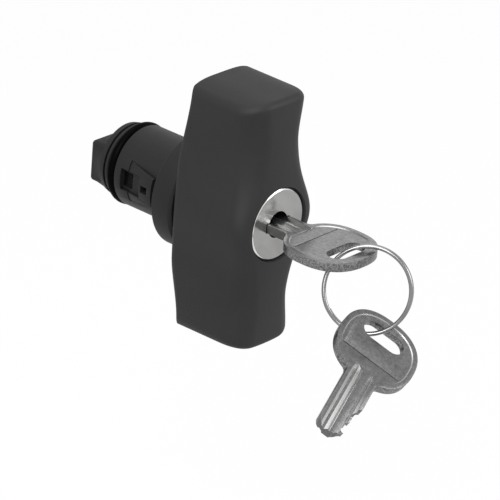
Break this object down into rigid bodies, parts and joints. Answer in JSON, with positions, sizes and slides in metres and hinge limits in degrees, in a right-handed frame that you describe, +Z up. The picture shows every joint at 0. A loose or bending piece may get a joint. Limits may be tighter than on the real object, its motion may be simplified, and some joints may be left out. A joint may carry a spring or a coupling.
{
  "type": "handle lock",
  "caption": "Quarter-turn cabinet handle on a snap-in barrel with seal and drive tang, with a wafer cylinder lock that throws a bolt, a key in it and a spare key on a split ring",
  "frame": {"origin": "on the barrel axis at the panel face, where the collar's rear face rests", "axes": "+Y into the cabinet along the barrel, +Z up along the upright handle, +X to the right seen from the front"},
  "size_m": [0.0495, 0.1075, 0.0672],
  "materials": {
    "grip_plastic": "matte fine-grained moulding",
    "barrel_plastic": "matte moulding",
    "seal_rubber": "smooth black",
    "washer_plastic": "smooth",
    "bright_steel": "plated",
    "lock_nickel": "polished nickel",
    "wafer_brass": "stamped",
    "key_nickel": "satin nickel",
    "ring_steel": "bright nickel"
  },
  "bodies": {
    "barrel": {"barrel_housing": "barrel_plastic", "barrel_seal": "seal_rubber", "thrust_washer": "washer_plastic", "latch_spring_left": "bright_steel", "latch_spring_right": "bright_steel"},
    "latch_l": {"latch_left": "barrel_plastic"},
    "latch_r": {"latch_right": "barrel_plastic"},
    "handle": {"handle_grip": "grip_plastic", "back_plate": "barrel_plastic", "plate_screws": "bright_steel", "stop_pin": "bright_steel", "spindle_seal": "seal_rubber", "drive_tang": "barrel_plastic", "tang_screw": "bright_steel", "lock_cylinder": "lock_nickel", "cylinder_pin": "bright_steel"},
    "plug": {"lock_plug": "lock_nickel", "wafer_set": "wafer_brass", "plug_clip": "bright_steel", "tail_cam": "lock_nickel"},
    "bolt": {"lock_bolt": "bright_steel"},
    "key": {"key_in_lock": "key_nickel"},
    "ring": {"split_ring": "ring_steel"},
    "spare": {"spare_key": "key_nickel"}
  },
  "joints": [
    {"name": "handle_turn", "type": "hinge", "parent": "barrel", "child": "handle", "pos_m": [0, 0, 0], "axis": [0, 1, 0], "range_deg": [0, 90]},
    {"name": "plug_turn", "type": "hinge", "parent": "handle", "child": "plug", "pos_m": [0, 0, 0], "axis": [0, 1, 0], "range_deg": [0, 90]},
    {"name": "bolt_throw", "type": "slide", "parent": "handle", "child": "bolt", "axis": [0, 0, 1], "range_m": [0, 0.0022]},
    {"name": "key_pull", "type": "slide", "parent": "plug", "child": "key", "axis": [0, -1, 0], "range_m": [0, 0.024]},
    {"name": "ring_turn", "type": "hinge", "parent": "key", "child": "ring", "pos_m": [0.00152, -0.05773, -0.00769], "axis": [-0.8024, -0.4936, 0.3355], "range_deg": [-15, 15]},
    {"name": "spare_swing", "type": "hinge", "parent": "ring", "child": "spare", "pos_m": [0.00039, -0.06243, -0.01729], "axis": [0.5876, -0.7519, 0.2989], "range_deg": [-15, 15]},
    {"name": "latch_left_press", "type": "slide", "parent": "barrel", "child": "latch_l", "axis": [1, 0, 0], "range_m": [0, 0.0011], "stiffness_N_per_m": 300, "deforming": ["latch_spring_left"]},
    {"name": "latch_right_press", "type": "slide", "parent": "barrel", "child": "latch_r", "axis": [-1, 0, 0], "range_m": [0, 0.0011], "stiffness_N_per_m": 300, "deforming": ["latch_spring_right"]}
  ],
  "couplings": [
    {"joint": "bolt_throw", "follows": "plug_turn", "m_per_rad": 0.0014005}
  ]
}
